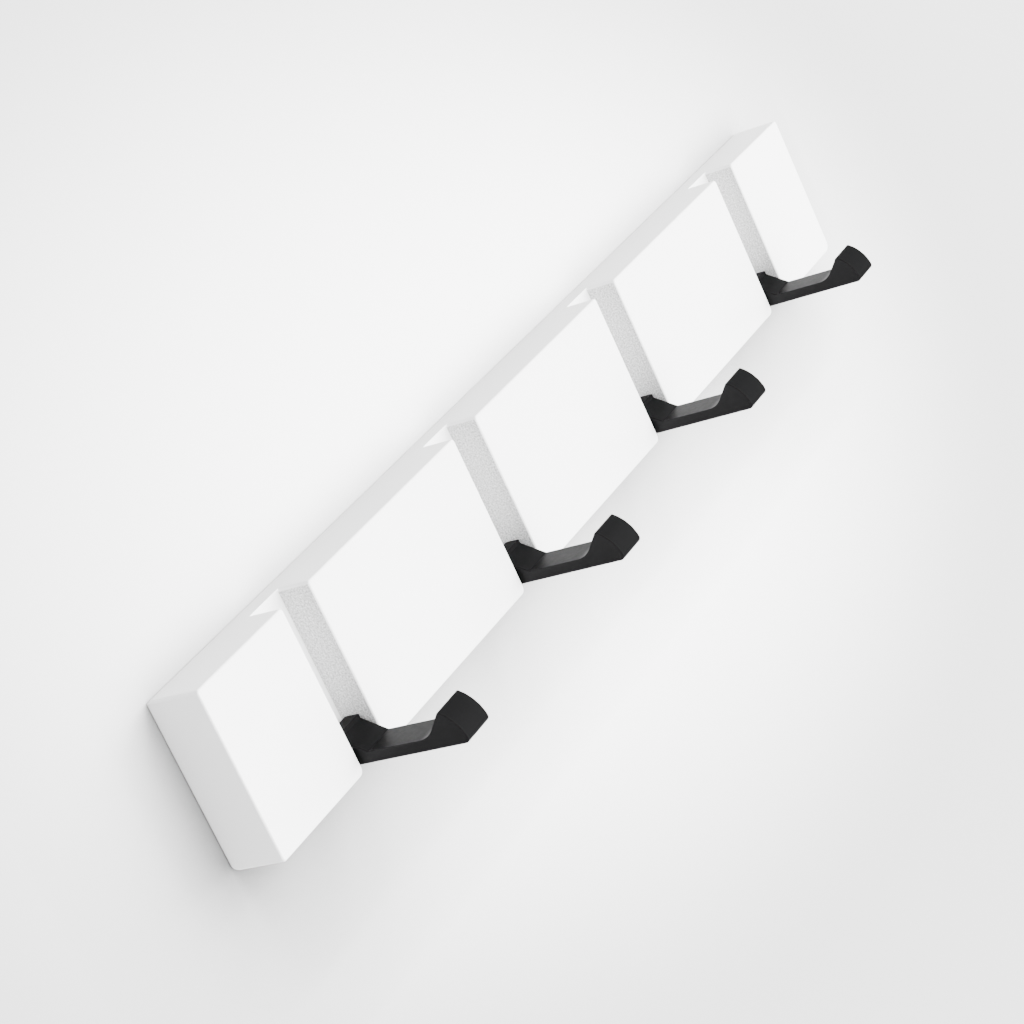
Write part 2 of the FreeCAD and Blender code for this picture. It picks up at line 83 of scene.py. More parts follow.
class Slot(Enum):
    """Material slots of the record."""

    LACQUER = "white_lacquer"
    COAT = "black_coat"
    STEEL = "steel"
    MOULDED = "white_plastic"
    WASHER = "washer_plastic"


class Along(Enum):
    """The axis that a flat outline is drawn out along."""

    X = "x"
    Y = "y"
    Z = "z"

    def place(self, across: float, up: float, depth: float) -> Vector:
        """Return a point of the outline at a depth along the axis, in millimetres."""
        if self is Along.X:
            return Vector((depth, across, up))
        if self is Along.Y:
            return Vector((across, depth, up))
        return Vector((across, up, depth))


class Carve(Enum):
    """What one solid does to another."""

    JOIN = "UNION"
    CUT = "DIFFERENCE"


def rounded(corners: list[Corner], steps: int = 6) -> list[Point]:
    """Round the corners of a closed outline.

    Args:
        corners: Across, up and radius of each corner in order.
        steps: Straight runs in each rounded corner.

    Returns:
        The points of the rounded outline.
    """
    points: list[Point] = []
    for index, (across, up, radius) in enumerate(corners):
        here = Vector((across, up))
        if radius <= 0:
            points.append((here.x, here.y))
            continue
        before = Vector(corners[index - 1][:2]) - here
        after = Vector(corners[(index + 1) % len(corners)][:2]) - here
        half_angle = before.angle(after) / 2
        reach = radius / math.tan(half_angle)
        start, end = here + before.normalized() * reach, here + after.normalized() * reach
        inwards = (before.normalized() + after.normalized()).normalized()
        centre = here + inwards * (radius / math.sin(half_angle))
        first, last = start - centre, end - centre
        turn = first.angle_signed(last)
        for step in range(steps + 1):
            spoke = Matrix.Rotation(-turn * step / steps, 2) @ first
            points.append((centre.x + spoke.x, centre.y + spoke.y))
    return points


def arc(centre: Point, radius: float, start: float, end: float, steps: int) -> list[Point]:
    """Return the points of an arc.

    Args:
        centre: Centre of the arc.
        radius: Radius of the arc.
        start: First angle in degrees, from the across direction.
        end: Last angle in degrees.
        steps: Straight runs in the arc.

    Returns:
        The points from start to end.
    """
    angles = [math.radians(start + (end - start) * step / steps) for step in range(steps + 1)]
    return [(centre[0] + radius * math.cos(a), centre[1] + radius * math.sin(a)) for a in angles]


def rectangle(left: float, right: float, low: float, high: float, radius: float = 0.0) -> list[Point]:
    """Return the outline of a rectangle with every corner rounded to the radius."""
    return rounded([(left, low, radius), (right, low, radius), (right, high, radius), (left, high, radius)])


def circle(centre: Point, radius: float, steps: int = 24) -> list[Point]:
    """Return the outline of a circle."""
    return arc(centre, radius, 0, WHOLE_TURN, steps)[:-1]


def inset(outline: list[Point], depth: float) -> list[Point]:
    """Move every side of an anticlockwise outline inwards.

    Args:
        outline: Points of the outline.
        depth: How far each side moves, in millimetres.

    Returns:
        As many points as the outline has.
    """
    moved: list[Point] = []
    for index, point in enumerate(outline):
        here = Vector(point)
        before = (here - Vector(outline[index - 1])).normalized()
        after = (Vector(outline[(index + 1) % len(outline)]) - here).normalized()
        inwards = Vector((-before.y - after.y, before.x + after.x)).normalized()
        reach = depth / inwards.dot(Vector((-after.y, after.x)))
        moved.append((here.x + inwards.x * reach, here.y + inwards.y * reach))
    return moved


def make_object(name: str, mesh: bpy.types.Mesh) -> bpy.types.Object:
    """Link a mesh to the scene as an object of the same name."""
    piece = bpy.data.objects.new(name, mesh)
    bpy.context.scene.collection.objects.link(piece)
    return piece


def finish_mesh(name: str, work: bmesh.types.BMesh) -> bpy.types.Object:
    """Turn worked geometry in millimetres into an object in metres."""
    bmesh.ops.recalc_face_normals(work, faces=work.faces)
    work.transform(Matrix.Scale(MILLIMETRE, 4))
    mesh = bpy.data.meshes.new(name)
    work.to_mesh(mesh)
    work.free()
    return make_object(name, mesh)


def stacked_loops(name: str, loops: list[list[Vector]]) -> bpy.types.Object:
    """Skin a stack of closed loops of equal length and close both ends.

    Args:
        name: Name of the new object.
        loops: Loops from one end to the other, in millimetres.

    Returns:
        The closed solid.
    """
    work = bmesh.new()
    rings = [[work.verts.new(point) for point in loop] for loop in loops]
    for lower, upper in zip(rings, rings[1:]):
        for index, corner in enumerate(lower):
            beside = (index + 1) % len(lower)
            work.faces.new((corner, lower[beside], upper[beside], upper[index]))
    work.faces.new(rings[0])
    work.faces.new(rings[-1])
    return finish_mesh(name, work)


def prism(
    name: str, outline: list[Point], along: Along, low: float, high: float,
    low_rim: float = 0.0, high_rim: float = 0.0, steps: int = 3,
) -> bpy.types.Object:
    """Draw an anticlockwise outline out along one axis, with rounded rims if asked.

    Args:
        name: Name of the new object.
        outline: Points of the outline, in millimetres.
        along: The axis to draw it out along.
        low: Depth of the first end.
        high: Depth of the last end.
        low_rim: Round at the rim of the first end.
        high_rim: Round at the rim of the last end.
        steps: Straight runs across each round.

    Returns:
        The closed solid.
    """
    loops: list[list[Vector]] = []
    for depth, rim, inwards in ((low, low_rim, 1), (high, high_rim, -1)):
        angles = [math.pi / 2 * step / steps for step in range(steps + 1)] if rim else [math.pi / 2]
        stack = []
        for angle in angles:
            level = depth + inwards * rim * (1 - math.cos(angle))
            shrunk = inset(outline, rim * (1 - math.sin(angle)))
            stack.append([along.place(across, up, level) for across, up in shrunk])
        loops += stack[::inwards]
    return stacked_loops(name, loops)


def lathe(name: str, profile: list[Point], steps: int = 32) -> bpy.types.Object:
    """Turn a profile of radius and depth about the Y axis through the origin.

    Args:
        name: Name of the new object.
        profile: Radius and depth of each ring, none with a radius of zero.
        steps: Straight runs round each ring.

    Returns:
        The turned solid.
    """
    spokes = [(math.cos(a), math.sin(a)) for a in (math.tau * step / steps for step in range(steps))]
    rings = [[Vector((radius * c, depth, radius * s)) for c, s in spokes] for radius, depth in profile]
    return stacked_loops(name, rings)


def carve(solid: bpy.types.Object, tools: list[bpy.types.Object], how: Carve) -> None:
    """Join tools to a solid or cut them from it, and delete the tools."""
    for tool in tools:
        change = solid.modifiers.new("carve", "BOOLEAN")
        change.operation = how.value
        change.solver = "EXACT"
        change.object = tool
        bake_modifiers(solid)
        bpy.data.objects.remove(tool)


def bake_modifiers(solid: bpy.types.Object) -> None:
    """Write a solid's modifiers into its mesh."""
    graph = bpy.context.evaluated_depsgraph_get()
    graph.update()
    shaped = bpy.data.meshes.new_from_object(solid.evaluated_get(graph))
    solid.modifiers.clear()
    solid.data = shaped


def ease_edges(solid: bpy.types.Object, width: float, segments: int, sharper_than: float = 30) -> None:
    """Round every edge of a solid that is sharper than an angle.

    Args:
        solid: The solid to change.
        width: Width of the round in millimetres.
        segments: Straight runs across the round.
        sharper_than: Smallest angle between faces, in degrees.
    """
    bevel = solid.modifiers.new("ease", "BEVEL")
    bevel.width = width * MILLIMETRE
    bevel.segments = segments
    bevel.limit_method = "ANGLE"
    bevel.angle_limit = math.radians(sharper_than)
    bevel.use_clamp_overlap = True
    bake_modifiers(solid)


def smooth(solid: bpy.types.Object, angle: float = 32, weight: int = 100) -> None:
    """Shade a solid smooth by the weight of its faces, with edges sharper than the angle kept crisp."""
    mesh = solid.data
    mesh.shade_smooth()
    mesh.set_sharp_from_angle(angle=math.radians(angle))
    weighting = solid.modifiers.new("weighting", "WEIGHTED_NORMAL")
    weighting.keep_sharp = True
    weighting.weight = weight
    bake_modifiers(solid)


def shift(solid: bpy.types.Object, x: float = 0, y: float = 0, z: float = 0) -> None:
    """Move a solid's mesh by millimetres and leave its object at the origin."""
    solid.data.transform(Matrix.Translation(Vector((x, y, z)) * MILLIMETRE))


def edge_waste(
    corner: Point, radius: float, towards: Point, along: Along, reach: float, steps: int = 10
) -> bpy.types.Object:
    """Make what a round takes off a long edge.

    Args:
        corner: The edge in the outline's plane.
        radius: Radius of the round.
        towards: Signs that lead from the edge into the solid.
        along: The axis that the edge runs along.
        reach: How far the waste reaches to both sides of the origin.
        steps: Straight runs across the round.

    Returns:
        The waste, which goes on a little way outside the solid.
    """
    centre = Vector((corner[0] + towards[0] * radius, corner[1] + towards[1] * radius))
    middle, half_round = math.degrees(math.atan2(-towards[1], -towards[0])), WHOLE_TURN / 8
    curve = arc((centre.x, centre.y), radius, middle - half_round, middle + half_round, steps)
    beyond = radius + SPARE
    first, last = Vector(curve[0]) - centre, Vector(curve[-1]) - centre
    corners = (last.normalized(), (first + last).normalized() * math.sqrt(2), first.normalized())
    ends = [tuple(centre + spoke * beyond) for spoke in corners]
    return prism("waste", curve + ends, along, -reach, reach)


def merge(name: str, solids: list[bpy.types.Object]) -> bpy.types.Object:
    """Gather separate solids in one object."""
    work = bmesh.new()
    for solid in solids:
        work.from_mesh(solid.data)
        bpy.data.objects.remove(solid)
    mesh = bpy.data.meshes.new(name)
    work.to_mesh(mesh)
    work.free()
    return make_object(name, mesh)


def reckon(
    material: bpy.types.Material, operation: str,
    first: bpy.types.NodeSocket, second: bpy.types.NodeSocket | float | None = None,
) -> bpy.types.NodeSocket:
    """Add a sum to a material.

    Args:
        material: The material to add to.
        operation: What to do with the values.
        first: The first value.
        second: The second value or a plain number, where the operation takes two.

    Returns:
        The result.
    """
    node = material.node_tree.nodes.new("ShaderNodeMath")
    node.operation = operation
    material.node_tree.links.new(first, node.inputs[0])
    if isinstance(second, float):
        node.inputs[1].default_value = second
    elif second is not None:
        material.node_tree.links.new(second, node.inputs[1])
    return node.outputs["Value"]


def remap(
    material: bpy.types.Material, value: bpy.types.NodeSocket,
    within: Span = (0.0, 1.0), becomes: Span = (0.0, 1.0), eased: bool = False,
) -> bpy.types.NodeSocket:
    """Map a range of values to another one.

    Args:
        material: The material to add to.
        value: The value to map.
        within: The two ends of its range.
        becomes: What the two ends become.
        eased: Whether the way between them is an S curve.

    Returns:
        The mapped value.
    """
    node = material.node_tree.nodes.new("ShaderNodeMapRange")
    if eased:
        node.interpolation_type = "SMOOTHSTEP"
    for name, end in zip(("From Min", "From Max", "To Min", "To Max"), (*within, *becomes)):
        node.inputs[name].default_value = end
    material.node_tree.links.new(value, node.inputs["Value"])
    return node.outputs["Result"]


@dataclass(frozen=True)
class Finish:
    """A surface with mottled colour and gloss and two sizes of relief."""

    name: str
    colour: tuple[float, float, float]
    roughness: float
    metallic: float = 0.0
    specular: float = 0.5
    edge_tint: float = 1.0
    mottle: float = 0.03
    mottle_scale: float = 60.0
    gloss_spread: float = 0.05
    grain_scale: float = 1500.0
    grain_depth: float = 0.02
    wave_scale: float = 300.0
    wave_depth: float = 0.02
    stretch: tuple[float, float, float] = (1.0, 1.0, 1.0)
    # Painted shade on the channel sides, as a share of the colour, and the grain laid over it.
    channel_painted_shade: float = 1.0
    milled_spread: float = 0.0
    milled_grain: float = 1500.0
    milled_contrast: Span = (0.3, 0.7)
    milled_facing: Span = (0.9, 0.99)
    milled_within: float = 0.25
    mottle_detail: float = 4.0
    gloss_detail: float = 3.0
    wave_detail: float = 2.0
    grain_detail: float = 3.0
    milled_detail: float = 1.0

    def build(self) -> bpy.types.Material:
        """Make the material.

        Returns:
            A node material with object coordinates only.
        """
        material = bpy.data.materials.new(self.name)
        material.use_nodes = True
        nodes, links = material.node_tree.nodes, material.node_tree.links
        shader = next(node for node in nodes if node.type == "BSDF_PRINCIPLED")
        shader.inputs["Metallic"].default_value = self.metallic
        shader.inputs["Specular IOR Level"].default_value = self.specular
        shader.inputs["Specular Tint"].default_value = (*(self.edge_tint,) * 3, 1)

        place = nodes.new("ShaderNodeTexCoord")
        scale = nodes.new("ShaderNodeMapping")
        scale.inputs["Scale"].default_value = self.stretch
        links.new(place.outputs["Object"], scale.inputs["Vector"])

        mottling = self.noise(material, scale, self.mottle_scale, self.mottle_detail)
        tone = remap(material, mottling, becomes=(1 - self.mottle, 1 + self.mottle))
        # Painted shade and grain on the channel sides.
        if self.channel_painted_shade != 1.0:
            tone = self.shade_and_grain_sides(material, place, scale, tone)
        tint = nodes.new("ShaderNodeVectorMath")
        tint.operation = "SCALE"
        tint.inputs[0].default_value = self.colour
        links.new(tone, tint.inputs["Scale"])
        links.new(tint.outputs["Vector"], shader.inputs["Base Color"])

        sheen = self.noise(material, scale, self.wave_scale, self.gloss_detail)
        gloss = (self.roughness - self.gloss_spread, self.roughness + self.gloss_spread)
        links.new(remap(material, sheen, becomes=gloss), shader.inputs["Roughness"])

        waves = self.noise(material, scale, self.wave_scale, self.wave_detail)
        grain = self.noise(material, scale, self.grain_scale, self.grain_detail)
        relief = self.bump(material, waves, self.wave_depth)
        relief = self.bump(material, grain, self.grain_depth, relief)
        links.new(relief, shader.inputs["Normal"])
        return material

    def shade_and_grain_sides(
        self, material: bpy.types.Material, place: bpy.types.Node, scale: bpy.types.Node,
        tone: bpy.types.NodeSocket,
    ) -> bpy.types.NodeSocket:
        """Darken the milled channel sides with painted shade, speckled with the board's grain where the
        coat is thin.

        Args:
            material: The material to add to.
            place: Its texture coordinates.
            scale: Its mapping.
            tone: The tone of the plain faces.

        Returns:
            The tone with painted shade and grain on the channel sides.
        """
        nodes, links = material.node_tree.nodes, material.node_tree.links
        facing, where = nodes.new("ShaderNodeSeparateXYZ"), nodes.new("ShaderNodeSeparateXYZ")
        links.new(place.outputs["Normal"], facing.inputs["Vector"])
        links.new(place.outputs["Object"], where.inputs["Vector"])
        sideways = remap(material, reckon(material, "ABSOLUTE", facing.outputs["X"]), self.milled_facing)
        short_of_ends = remap(
            material, reckon(material, "ABSOLUTE", where.outputs["X"]),
            (self.milled_within, self.milled_within - MILLIMETRE),
        )
        fibres = self.noise(material, scale, self.milled_grain, self.milled_detail)
        tones = (self.channel_painted_shade * (1 - self.milled_spread), self.channel_painted_shade * (1 + self.milled_spread))
        mix = nodes.new("ShaderNodeMix")
        links.new(reckon(material, "MULTIPLY", sideways, short_of_ends), mix.inputs["Factor"])
        links.new(tone, mix.inputs["A"])
        links.new(remap(material, fibres, self.milled_contrast, tones), mix.inputs["B"])
        return mix.outputs["Result"]

    def noise(
        self, material: bpy.types.Material, place: bpy.types.Node, scale: float, detail: float
    ) -> bpy.types.NodeSocket:
        """Add a noise texture and return its value."""
        texture = material.node_tree.nodes.new("ShaderNodeTexNoise")
        texture.inputs["Scale"].default_value = scale
        texture.inputs["Detail"].default_value = detail
        material.node_tree.links.new(place.outputs["Vector"], texture.inputs["Vector"])
        return texture.outputs["Fac"]

    def bump(
        self, material: bpy.types.Material, height: bpy.types.NodeSocket, depth: float,
        under: bpy.types.NodeSocket | None = None,
    ) -> bpy.types.NodeSocket:
        """Lay relief of a depth in millimetres over the relief under it."""
        node = material.node_tree.nodes.new("ShaderNodeBump")
        node.inputs["Distance"].default_value = depth * MILLIMETRE
        material.node_tree.links.new(height, node.inputs["Height"])
        if under is not None:
            material.node_tree.links.new(under, node.inputs["Normal"])
        return node.outputs["Normal"]


# The lacquer's channel sides get painted shade at 0.62 of its white, speckled with grain.
LACQUER = Finish(
    "satin white lacquer", (0.84, 0.84, 0.84), 0.36, specular=0.3, channel_painted_shade=0.62, milled_spread=0.4,
    mottle=0.008, grain_scale=1800, grain_depth=0.02, wave_scale=260, wave_depth=0.03,
)
COAT = Finish(
    "black satin coating", (0.0102, 0.0102, 0.0105), 0.42, metallic=0.65, specular=0.0, edge_tint=0.55,
    mottle=0.12, gloss_spread=0.06, grain_scale=2600, grain_depth=0.03, wave_scale=500, wave_depth=0.02,
)
ZINC = Finish(
    "bright zinc plating", (0.62, 0.63, 0.65), 0.32, metallic=1.0,
    mottle=0.05, gloss_spread=0.08, grain_scale=900, grain_depth=0.01, stretch=(1.0, 1.0, 0.12),
)
MOULDED = Finish(
    "white moulded plastic", (0.78, 0.78, 0.77), 0.5,
    mottle=0.01, grain_scale=1400, grain_depth=0.02, wave_scale=150, wave_depth=0.04,
)
WASHER = Finish(
    "black moulded plastic", (0.03, 0.03, 0.03), 0.55,
    mottle=0.05, grain_scale=1600, grain_depth=0.01,
)
FINISHES = {
    Slot.LACQUER: LACQUER, Slot.COAT: COAT, Slot.STEEL: ZINC, Slot.MOULDED: MOULDED, Slot.WASHER: WASHER,
}


@dataclass
class Piece:
    """A finished piece that takes the place of one node of the frame."""

    node: str
    name: str
    slot: Slot
    body: str = RAIL_BODY

    def mesh(self) -> bpy.types.Object:
        """Build the piece's mesh, without its finish."""
        raise NotImplementedError

    def dress(self, materials: dict[Slot, bpy.types.Material]) -> bpy.types.Object:
        """Build the piece, give it its finish and put it in its node's place.

        Args:
            materials: The material of each slot.

        Returns:
            The finished piece.
        """
        solid = self.mesh()
        smooth(solid)
        solid.data.materials.append(materials[self.slot])
        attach(solid, self.body)
        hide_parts(self.node)
        log.info("%s takes the place of %s", self.name, self.node)
        return solid


@dataclass
class Rail(Piece):
    """The one-piece lacquered rail with its four open channels."""

    node: str = "rail_body"
    name: str = "lacquered_rail"
    slot: Slot = Slot.LACQUER
    half_length: float = 260.0
    front: float = -22.0
    edge_round: float = 0.8
    top_round: float = 1.4
    foot_round: float = 2.5
    left_foot_round: float = 1.4
    right_foot_round: float = 4.0
    back_top_round: float = 1.5
    back_end_round: float = 0.8
    window_top: float = -19.0
    window_overrun: float = 0.5
    slab_inset: float = 6.0
    hanger_corner: float = 3.0
    head_room_margin: float = 1.2
    head_room_depth: float = 7.0
    corner_steps: int = 8
    edge_steps: int = 4
    bore_steps: int = 12

    def block(self, left: float, right: float, left_foot: float, right_foot: float) -> bpy.types.Object:
        """Make one block between two channels, rounded all round its front face.

        Args:
            left: Left side of the block.
            right: Right side of the block.
            left_foot: Round at its lower left corner.
            right_foot: Round at its lower right corner.

        Returns:
            The block, as deep as the rail.
        """
        outline = rounded([
            (left, FOOT, left_foot), (right, FOOT, right_foot),
            (right, TOP, self.top_round), (left, TOP, self.top_round),
        ], self.corner_steps)
        rim, steps = self.edge_round, self.edge_steps
        return prism("block", outline, Along.Y, self.front, 0, low_rim=rim, steps=steps)

    def hinge_seat(self, x: float) -> list[bpy.types.Object]:
        """Make what is cut behind one channel: window, plate recess, pin slot, mortises."""
        pivot_z, below = PIVOT[1], FOOT - SPARE
        quarter = HALF_TURN / 2
        pin_slot = [(SPARE, pivot_z - BORE), (SPARE, pivot_z + BORE)]
        pin_slot += arc(PIVOT, BORE, quarter, quarter + HALF_TURN, self.bore_steps)
        window = rectangle(x - HALF_CHANNEL, x + HALF_CHANNEL, below, self.window_top)
        half_recess = Retainer.half_plate + SEAT_PLAY
        recess = rectangle(x - half_recess, x + half_recess, below, self.window_top)
        half_slot = Pin.half_length + SEAT_PLAY
        cuts = [
            prism("window", window, Along.Y, CHANNEL_BACK - self.window_overrun, SPARE),
            prism("recess", recess, Along.Y, -Retainer.plate - SEAT_PLAY, SPARE),
            prism("pin_slot", pin_slot, Along.X, x - half_slot, x + half_slot),
        ]
        half_mortise = Retainer.half_leg + SEAT_PLAY
        foot, top = Retainer.leg_foot - SEAT_PLAY, Retainer.leg_top + SEAT_PLAY
        for leg in (x - Retainer.leg_place, x + Retainer.leg_place):
            mortise = rectangle(leg - half_mortise, leg + half_mortise, foot, top)
            cuts.append(prism("mortise", mortise, Along.Y, -Retainer.leg_reach - SEAT_PLAY, SPARE))
        return cuts

    def hanger_seat(self, x: float) -> list[bpy.types.Object]:
        """Make what is cut for one hanger: recess, room for a screw's head, two pilot holes."""
        middle, corner = HANGER_MIDDLE, self.hanger_corner
        across, rise = Hanger.half_width + SEAT_PLAY, Hanger.half_height + SEAT_PLAY
        recess = rectangle(x - across, x + across, middle - rise, middle + rise, corner)
        room = Hanger.entry_radius + self.head_room_margin
        low, high = middle - Hanger.entry_drop - room, middle + Hanger.slot_rise + room
        head_room = rectangle(x - room, x + room, low, high, corner)
        cuts = [
            prism("recess", recess, Along.Y, -Hanger.thickness - SEAT_PLAY, SPARE),
            prism("head_room", head_room, Along.Y, -self.head_room_depth, SPARE),
        ]
        pilot_radius = HangerScrews.radius + SEAT_PLAY
        for z in HANGER_SCREW_HEIGHTS:
            cuts.append(prism("pilot", circle((x, z), pilot_radius), Along.Y, HangerScrews.end, SPARE))
        return cuts

    def mesh(self) -> bpy.types.Object:
        """Build the slab with its blocks and cut every seat into its back."""
        sides = [-self.half_length]
        for x in HOOK_PLACES:
            sides += [x - HALF_CHANNEL, x + HALF_CHANNEL]
        sides.append(self.half_length)
        within = self.half_length - self.slab_inset
        rail = prism(self.name, rectangle(-within, within, FOOT, TOP), Along.Y, CHANNEL_BACK, 0)
        blocks = []
        for left, right in zip(sides[::2], sides[1::2]):
            left_foot = self.left_foot_round if left == sides[0] else self.foot_round
            right_foot = self.right_foot_round if right == sides[-1] else self.foot_round
            blocks.append(self.block(left, right, left_foot, right_foot))
        carve(rail, blocks, Carve.JOIN)
        reach = self.half_length + SPARE
        cuts = [
            edge_waste((0, FOOT), BACK_FOOT_ROUND, (-1, 1), Along.X, reach),
            edge_waste((0, TOP), self.back_top_round, (-1, -1), Along.X, reach),
            edge_waste((-self.half_length, 0), self.back_end_round, (1, -1), Along.Z, reach),
            edge_waste((self.half_length, 0), self.back_end_round, (-1, -1), Along.Z, reach),
        ]
        for x in HOOK_PLACES:
            cuts += self.hinge_seat(x)
        for x in HANGER_PLACES.values():
            cuts += self.hanger_seat(x)
        carve(rail, cuts, Carve.CUT)
        return rail


@dataclass
class Hook(Piece):
    """One die-cast hook: head, ramp, arm and upturned tip in one piece."""

    x: float = 0.0
    half_width: float = 7.8
    edge_round: float = 0.4
    underside: float = -7.0
    head_radius: float = 6.2
    head_top: float = 5.1
    ramp_top: float = -2.4
    step_foot: float = 3.4
    ramp_foot: float = -11.3
    arm_top: float = -2.7
    neck_foot: float = -36.8
    neck_round: float = 8.8
    tip: Point = (-44.8, 6.1)
    toe: Point = (-52.2, -7.0)
    tip_face_radius: float = 15.5
    tip_round: float = 0.8
    toe_round: float = 1.6
    step_round: float = 0.6
    heel_round: float = 0.5
    ramp_foot_round: float = 0.12
    head_steps: int = 10
    face_steps: int = 5
    corner_steps: int = 8

    def tip_face(self) -> list[Point]:
        """Return the points inside the bulged end face, from the tip down to the toe."""
        tip, toe = Vector(self.tip), Vector(self.toe)
        chord = toe - tip
        rise = math.sqrt(self.tip_face_radius ** 2 - (chord.length / 2) ** 2)
        centre = (tip + toe) / 2 + Vector((-chord.y, chord.x)).normalized() * rise
        first, last = tip - centre, toe - centre
        start = math.degrees(math.atan2(first.y, first.x))
        end = math.degrees(math.atan2(last.y, last.x)) % WHOLE_TURN
        return arc((centre.x, centre.y), self.tip_face_radius, start, end, self.face_steps)[1:-1]

    def side_view(self) -> list[Point]:
        """Return the side outline about the pin, out from the wall and up."""
        head_angle = math.degrees(math.asin(self.head_top / self.head_radius))
        head = arc((0, 0), self.head_radius, 0, head_angle, self.head_steps)
        corners = [(self.head_radius, self.underside, self.heel_round)]
        corners += [(across, up, 0) for across, up in head]
        corners += [
            (self.ramp_top, self.head_top, self.heel_round),
            (self.ramp_top, self.step_foot, self.step_round),
            (self.ramp_foot, self.arm_top, self.ramp_foot_round),
            (self.neck_foot, self.arm_top, self.neck_round),
            (*self.tip, self.tip_round),
        ]
        corners += [(across, up, 0) for across, up in self.tip_face()]
        corners.append((*self.toe, self.toe_round))
        return rounded(corners, self.corner_steps)

    def mesh(self) -> bpy.types.Object:
        """Draw out the side outline with soft rims and bore it for the pin."""
        rim, reach = self.edge_round, self.half_width + SPARE
        hook = prism(self.name, self.side_view(), Along.X, -self.half_width, self.half_width, rim, rim)
        carve(hook, [prism("bore", circle((0, 0), BORE), Along.X, -reach, reach)], Carve.CUT)
        shift(hook, self.x, *PIVOT)
        return hook


@dataclass
class Pin(Piece):
    """One plated hinge pin with eased ends."""

    x: float = 0.0
    radius: float = 1.5
    half_length: float = 15.0
    end_round: float = 0.3

    def mesh(self) -> bpy.types.Object:
        """Draw out the pin along the rail."""
        left, right, rim = self.x - self.half_length, self.x + self.half_length, self.end_round
        return prism(self.name, circle(PIVOT, self.radius), Along.X, left, right, rim, rim)


@dataclass
class Washers(Piece):
    """The pair of moulded washers beside one hook."""

    x: float = 0.0
    radius: float = 3.2
    inner: float = 7.8
    outer: float = 8.9
    rim: float = 0.2
    steps: int = 32

    def mesh(self) -> bpy.types.Object:
        """Draw out two rings on the pin."""
        rings = []
        for side in (-1, 1):
            low, high = sorted((self.x + side * self.inner, self.x + side * self.outer))
            outline = circle(PIVOT, self.radius, self.steps)
            ring = prism("ring", outline, Along.X, low, high, self.rim, self.rim)
            carve(ring, [prism("bore", circle(PIVOT, BORE), Along.X, low - SPARE, high + SPARE)], Carve.CUT)
            rings.append(ring)
        return merge(self.name, rings)


@dataclass
class Retainer(Piece):
    """The moulded plate with block, fingers and press-in legs behind one hinge."""

    x: float = 0.0
    top: float = -19.1
    half_plate: float = 24.0
    plate: float = 2.5
    half_block: float = 8.9
    finger_start: float = 9.1
    finger_end: float = 15.0
    finger_reach: float = 13.4
    leg_place: float = 19.5
    half_leg: float = 1.25
    leg_foot: float = -29.25
    leg_top: float = -22.25
    leg_reach: float = 9.0
    edge_round: float = 0.25
    edge_steps: int = 2
    pockets: tuple[Span, ...] = ((-21.5, -10.5), (-8.0, 8.0), (10.5, 21.5))
    pocket_depth: float = 0.5
    pocket_corner: float = 1.0
    above_foot: float = 5.5
    below_top: float = 2.0

    def bar(self, left: float, right: float, low: float, high: float, reach: float) -> bpy.types.Object:
        """Make one plain bar from the back face inwards."""
        return prism("bar", rectangle(self.x + left, self.x + right, low, high), Along.Y, -reach, 0)

    def mesh(self) -> bpy.types.Object:
        """Join plate, block, fingers and legs, and ease every edge."""
        pivot_z = PIVOT[1]
        low, high = pivot_z - Pin.radius, pivot_z + Pin.radius
        plate = rectangle(self.x - self.half_plate, self.x + self.half_plate, FOOT, self.top)
        solid = prism(self.name, plate, Along.Y, -self.plate, 0)
        bars = [
            self.bar(-self.half_block, self.half_block, FOOT, self.top, -CHANNEL_BACK),
            self.bar(-self.finger_end, self.finger_end, low, high, -CHANNEL_BACK),
        ]
        for side in (-1, 1):
            left, right = sorted((side * self.finger_start, side * self.finger_end))
            bars.append(self.bar(left, right, low, high, self.finger_reach))
            left, right = side * self.leg_place - self.half_leg, side * self.leg_place + self.half_leg
            bars.append(self.bar(left, right, self.leg_foot, self.leg_top, self.leg_reach))
        carve(solid, bars, Carve.JOIN)
        reach = self.half_plate + SPARE + abs(self.x)
        cuts = [edge_waste((0, FOOT), BACK_FOOT_ROUND, (-1, 1), Along.X, reach)]
        low, high = FOOT + self.above_foot, self.top - self.below_top
        for left, right in self.pockets:
            pocket = rectangle(self.x + left, self.x + right, low, high, self.pocket_corner)
            cuts.append(prism("pocket", pocket, Along.Y, -self.pocket_depth, SPARE))
        carve(solid, cuts, Carve.CUT)
        ease_edges(solid, self.edge_round, self.edge_steps)
        return solid


